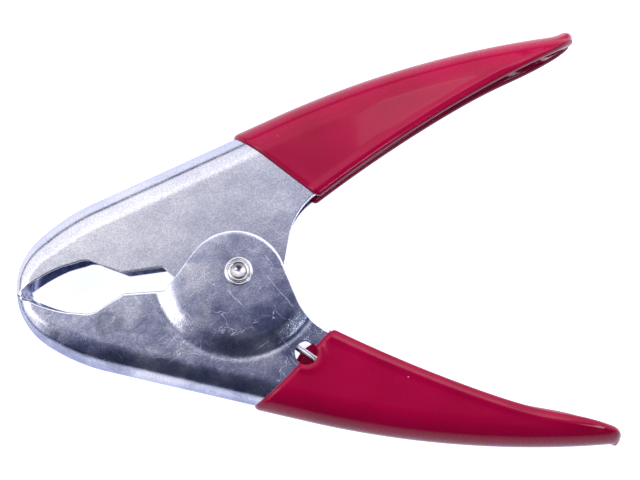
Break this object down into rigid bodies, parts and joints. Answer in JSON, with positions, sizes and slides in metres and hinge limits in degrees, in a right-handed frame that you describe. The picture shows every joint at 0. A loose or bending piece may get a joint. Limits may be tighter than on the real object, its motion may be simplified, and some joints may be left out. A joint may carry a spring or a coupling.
{
  "type": "spring clip",
  "caption": "Plier-type spring clip: crossed sheet-steel channel jaws on a hollow rivet, held shut by a torsion spring, with dipped vinyl handles.",
  "frame": {"origin": "where the pivot axis meets the flat face of the rivet head, the face the clip lies on", "axes": "+X from the jaws to the handles along the clip's centre line, +Y from the lower lever to the upper lever, +Z along the pivot axis toward the rolled end of the rivet"},
  "size_m": [0.1603, 0.1152, 0.0245],
  "materials": {
    "zinc_plated_steel": "zinc plated, satin, lightly scuffed",
    "rivet_steel": "nickel plated, bright",
    "spring_steel": "zinc plated wire",
    "red_vinyl": "dipped vinyl, glossy"
  },
  "bodies": {
    "lower": {"lower_lever": "zinc_plated_steel", "lower_grip": "red_vinyl", "rivet": "rivet_steel", "spring_lower_half": "spring_steel"},
    "upper": {"upper_lever": "zinc_plated_steel", "upper_grip": "red_vinyl", "spring_upper_half": "spring_steel"}
  },
  "joints": [
    {"name": "jaw_pivot", "type": "hinge", "parent": "lower", "child": "upper", "pos_m": [0, 0, 0.0124], "axis": [0, 0, -1], "range_deg": [0, 36], "stiffness_Nm_per_rad": 0.5, "springref_deg": -60.16}
  ]
}
